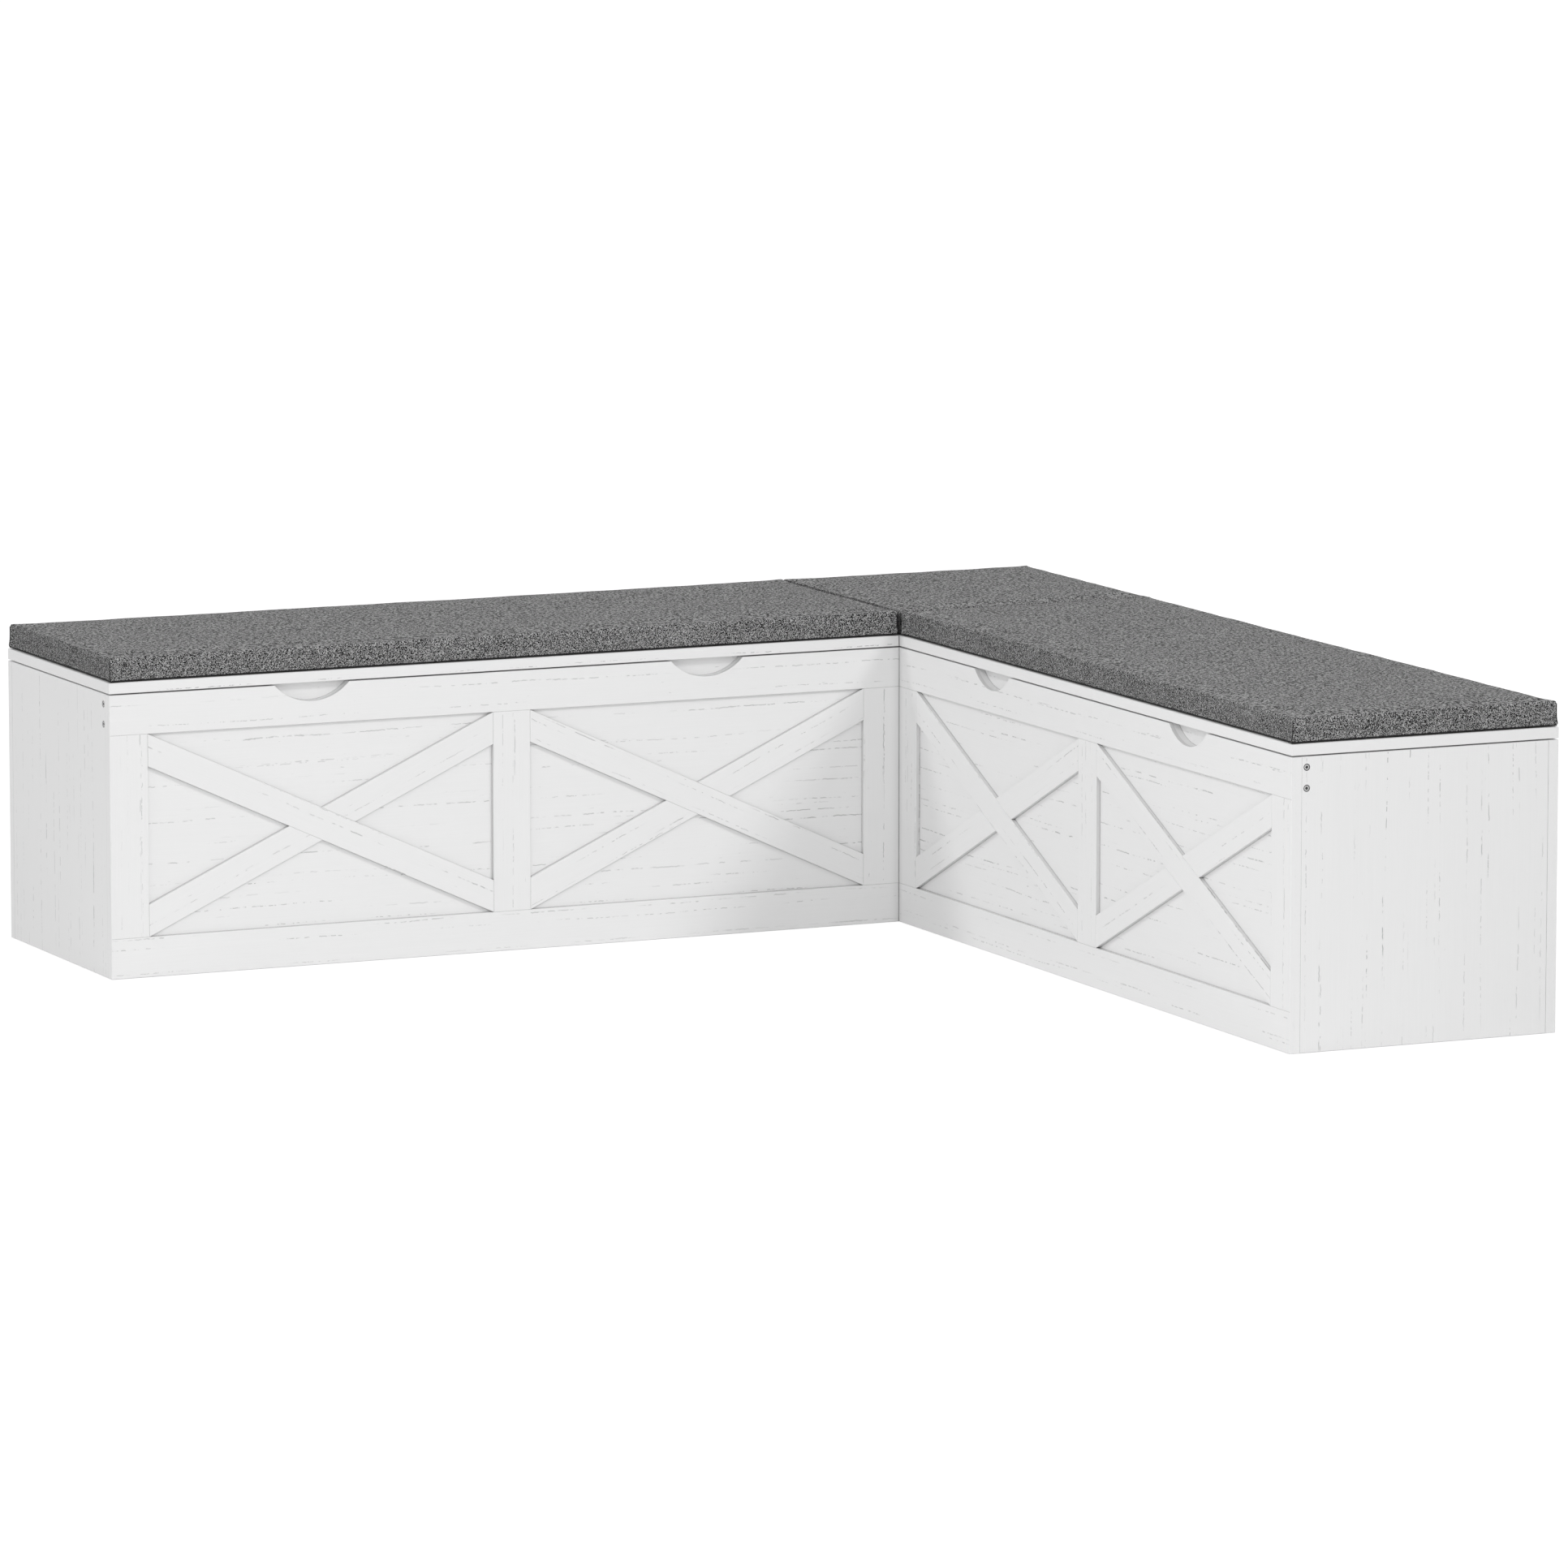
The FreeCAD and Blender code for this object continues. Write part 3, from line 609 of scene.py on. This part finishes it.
def cushion(node, body, seed, sides):
    """A boxed foam cushion in a sewn cover, in the place of its CAD node. sides are those that
    face another cushion."""
    low, high = (np.array(corner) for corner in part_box(node))
    start = low + (0.0004, 0.0004, 0), high - (0.0004, 0.0004, 0.0022)
    points, faces, numbers, last = padded_block(*start, 0.0013, QUAD)
    thing = new_object(node + "_cover", points, faces, CLOTH)
    puffed(thing, PUFF)
    mesh = thing.data
    points = coordinates(mesh)
    corners = [(i, j) for i in (0, last[0]) for j in (0, last[1])]
    # The shoulder of the foam: the cover turns down a little round the top edge, and is drawn
    # under along the bottom one.
    z = points[:, 2].copy()
    drop = np.zeros(len(points))
    for axis in (0, 1):
        for way, face in ((-1, low[axis]), (1, high[axis])):
            inside = np.maximum((face - points[:, axis]) * way, 0)
            depth = 0.0007 if axis == 0 and (axis, way) in sides else 0.0019
            drop = np.maximum(drop, np.where(z > high[2] - 0.006, eased_over(inside, 0.007) * depth, 0))
    for axis in (0, 1):
        for way, face in ((-1, low[axis]), (1, high[axis])):
            round_top = 0.0009 if (axis, way) in sides else 0.0019
            tuck = eased_over(np.maximum(high[2] - z, 0), 0.007) * round_top
            tuck = tuck + eased_over(np.maximum(z - low[2], 0), 0.006) * 0.0028
            points[:, axis] -= np.where((points[:, axis] - face) * way > -0.0035, way * tuck, 0)
    points[:, 2] -= drop
    pressed_together(points, low, high, sides)
    # The sewn corners stand square on the corners of the foam.
    for i, j in corners:
        square = np.array([high[0] if i else low[0], high[1] if j else low[1]])
        upright = [numbers[(i, j, k)] for k in range(last[2] + 1)]
        middle = upright[len(upright) // 2]
        near = np.exp(-((np.linalg.norm(points[:, :2] - points[middle, :2], axis=1) / 0.009) ** 2))
        points[:, :2] += near[:, None] * (square - points[middle, :2])
    mesh.vertices.foreach_set("co", points.ravel())
    mesh.update()

    def line(indices):
        return [Vector(points[numbers[index]]) for index in indices]

    seams = [line((i, j, k) for k in range(1, last[2] - 1)) for i, j in corners]
    around = [(i, 0, 1) for i in range(last[0])] + [(last[0], j, 1) for j in range(last[1])]
    around += [(i, last[1], 1) for i in range(last[0], 0, -1)] + [(0, j, 1) for j in range(last[1], 0, -1)]
    hem = line(around)
    finer = thing.modifiers.new("finer", "SUBSURF")
    finer.levels = finer.render_levels = 1
    mesh = applied(thing)
    points = coordinates(mesh)
    centre = (low + high) / 2
    # The cover is drawn in along its corner seams, and lies a little unevenly over the foam.
    for seam in seams:
        corner = np.array([tuple(p) for p in seam]).mean(0)
        flat = np.linalg.norm(points[:, :2] - corner[:2], axis=1)
        near = flat < 0.012
        pull = np.exp(-((flat[near] / 0.0014) ** 2)) * 0.0005
        inward = np.sign(centre[:2] - corner[:2]) / math.sqrt(2)
        points[near, :2] += inward * pull[:, None]
    normals = np.zeros(len(mesh.vertices) * 3)
    mesh.vertices.foreach_get("normal", normals)
    random = np.random.default_rng(seed)
    wave = np.zeros(len(points))
    for _ in range(16):
        way = random.normal(size=3)
        way /= np.linalg.norm(way)
        wave += np.sin(points @ way * random.uniform(25, 140) + random.uniform(0, 7))
    above = np.clip((points[:, 2] - low[2]) / 0.008, 0, 1)
    points += normals.reshape(-1, 3) * (wave * 0.00007 * above)[:, None]
    mesh.vertices.foreach_set("co", points.ravel())
    for face in mesh.polygons:
        face.use_smooth = True
    mesh.update()
    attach(thing, body)
    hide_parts(node)
    # Painted shade: near-black cords along the corner seams and the hem round the underside stand for the
    # shade in the folds and under the cushion.
    seam_cords_and_shade = tube(node + "_corner_seams_and_shade", seams, CORNER_SEAM, SEAM_AND_SHADE)
    hem_cord_and_shade = tube(node + "_hem_and_shade", [hem], HEM, SEAM_AND_SHADE, closed=True)
    for piece in (seam_cords_and_shade, hem_cord_and_shade):
        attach(piece, body)


def screw_heads(name, places, height, way, body):
    """Countersunk cross-recessed heads, almost flush with the face that they hold."""
    radius = SCREW_HEAD
    lines = (-radius, -0.0013, -0.0004, 0.0004, 0.0013, radius)
    vertices, faces, dark = [], [], []
    for x, y in places:
        first = len(vertices)
        for i, u in enumerate(lines):
            for j, v in enumerate(lines):
                rim = i in (0, 5) or j in (0, 5)
                share = radius / math.hypot(u, v) if rim else 1.0
                proud = 0.00001 if rim else 0.00007
                vertices.append((x + u * share, y + v * share, height + way * proud))
        for i in range(5):
            for j in range(5):
                here, ahead = first + i * 6 + j, first + (i + 1) * 6 + j
                ring = [here, ahead, ahead + 1, here + 1]
                # The faces of the cross take the painted recess shade.
                dark.append((i == 2 and 0 < j < 4) or (j == 2 and 0 < i < 4))
                faces.append(ring[::way])
    made = new_object(name, vertices, faces, SCREW_STEEL)
    made.data.materials.append(RECESS_SHADE)
    for face, cross_in_shade in zip(made.data.polygons, dark):
        face.material_index = int(cross_in_shade)
    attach(made, body)


# ----------------------------------------------------------- dress the CAD model

CLOTH = cloth_material()
SEAM_AND_SHADE = seam_and_shade_material()
HINGE_STEEL = steel_material("zinc_plate", (0.62, 0.62, 0.63, 1), (0.44, 0.44, 0.45, 1), 0.28)
SCREW_STEEL = steel_material("zinc_screw", (0.50, 0.50, 0.50, 1), (0.30, 0.30, 0.30, 1), 0.35)
RECESS_SHADE = recess_shade_material()
BATTEN = batten_material()
TAPE = tape_material()
RUBBER = rubber_material()

for number, (name, node) in enumerate(sorted(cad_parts.items())):
    if "hinge" in name:
        material = HINGE_STEEL
    elif name.endswith("end_panel_screws"):
        material = end_screw_material(name, 1 if name.startswith("left") else 0)
    elif "screws" in name:
        material = SCREW_STEEL
    elif "cleats" in name:
        material = BATTEN
    elif "strips" in name:
        material = TAPE
    elif "bumpers" in name:
        material = RUBBER
    elif name.endswith("cushion"):
        material = CLOTH
    else:
        material = board_material(name, node, number)
    node.data.materials.clear()
    node.data.materials.append(material)

TOUCHING = {"left": [(0, 1)], "corner": [(0, -1), (1, -1)], "right": [(1, 1)]}
for seed, (side, sides) in enumerate(TOUCHING.items()):
    cushion(side + "_cushion", side + "_lid_body", seed, sides)
for side, hinges in HINGES.items():
    along = [hinge + offset for hinge in hinges for offset in (-0.020, 0.0, 0.020)]
    places = [(HINGE_LINE, at) if side == "right" else (at, HINGE_LINE) for at in along]
    screw_heads(side + "_box_hinge_screws", places, LEAF_FACES[0], 1, "carcass")
    screw_heads(side + "_lid_hinge_screws", places, LEAF_FACES[1], -1, side + "_lid_body")


# --------------------------------------------------------- floor, light, camera


def white_to_camera(g):
    """1 for rays that should find plain white: straight from the camera, or by a reflection."""
    path = g.add("ShaderNodeLightPath").outputs
    seen = g.math("MAXIMUM", path["Is Camera Ray"], path["Is Glossy Ray"])
    return g.math("MAXIMUM", seen, path["Is Transmission Ray"])


def make_floor():
    reach = 60
    corners = [(-reach, -reach, 0), (reach, -reach, 0), (reach, reach, 0), (-reach, reach, 0)]
    material, g = new_material("pale_floor")
    floor = new_object("floor", corners, [(0, 1, 2, 3)], material)
    floor.location.z = -FLOOR_PLAY
    plain = g.add("ShaderNodeBsdfDiffuse", {"Color": (0.88, 0.88, 0.88, 1)})
    shown = g.add("ShaderNodeBsdfDiffuse", {"Color": (0.36, 0.36, 0.36, 1)})
    glow = g.add("ShaderNodeEmission", {"Color": (1, 1, 1, 1), "Strength": 0.80})
    both = g.add("ShaderNodeAddShader")
    mixed = g.add("ShaderNodeMixShader", {0: white_to_camera(g)})
    output = g.add("ShaderNodeOutputMaterial")
    link = g.tree.links.new
    link(shown.outputs[0], both.inputs[0])
    link(glow.outputs[0], both.inputs[1])
    link(plain.outputs[0], mixed.inputs[1])
    link(both.outputs[0], mixed.inputs[2])
    link(mixed.outputs[0], output.inputs[0])


def make_world(strength):
    world = bpy.data.worlds.new("studio")
    bpy.context.scene.world = world
    world.use_nodes = True
    world.node_tree.nodes.clear()
    g = Graph(world.node_tree)
    light = g.add("ShaderNodeBackground", {0: (1, 1, 1, 1), 1: strength})
    white = g.add("ShaderNodeBackground", {0: (1, 1, 1, 1), 1: 1.0})
    mixed = g.add("ShaderNodeMixShader", {0: white_to_camera(g)})
    output = g.add("ShaderNodeOutputWorld")
    link = g.tree.links.new
    link(light.outputs[0], mixed.inputs[1])
    link(white.outputs[0], mixed.inputs[2])
    link(mixed.outputs[0], output.inputs[0])


def hang(name, lamp, place, aim):
    """Puts a lamp at a place, turned towards another."""
    made = bpy.data.objects.new(name, lamp)
    made.location = place
    made.rotation_mode = "QUATERNION"
    made.rotation_quaternion = (Vector(place) - Vector(aim)).to_track_quat("Z", "Y")
    made.visible_camera = False
    bpy.context.scene.collection.objects.link(made)


def make_lamp(name, towards, strength, spread):
    """A far soft lamp. towards is the direction from the bench to the lamp."""
    lamp = bpy.data.lights.new(name, "SUN")
    lamp.energy = strength
    lamp.angle = math.radians(spread)
    hang(name, lamp, Vector(towards) * 3, (0, 0, 0))


def make_softbox(name, place, aim, strength, size):
    """A near square lamp that fills the inside of the L."""
    lamp = bpy.data.lights.new(name, "AREA")
    lamp.shape = "SQUARE"
    lamp.size = size
    lamp.energy = strength
    hang(name, lamp, place, aim)


def make_camera():
    camera = bpy.data.objects.new("camera", bpy.data.cameras.new("camera"))
    camera.data.sensor_width = 36
    camera.data.lens = LENS
    camera.data.clip_start = 0.1
    camera.data.clip_end = 200
    camera.location = CAMERA_PLACE
    camera.rotation_euler = (math.radians(90 - CAMERA_DOWN), 0, math.radians(CAMERA_TURN))
    bpy.context.scene.collection.objects.link(camera)
    bpy.context.scene.camera = camera


make_floor()
make_world(0.49)
make_lamp("lamp_right", (0.55, -1.0, 0.80), 0.68, 12)
make_lamp("lamp_left", (-1.0, 0.42, 0.88), 0.50, 9)
make_lamp("lamp_front", (-1.0, -1.0, 0.55), 0.38, 70)
make_softbox("softbox", (-1.2, -1.8, 1.2), (0.2, 0.1, 0.2), 9.1, 1.2)
make_camera()
bpy.context.scene.view_settings.view_transform = "Standard"
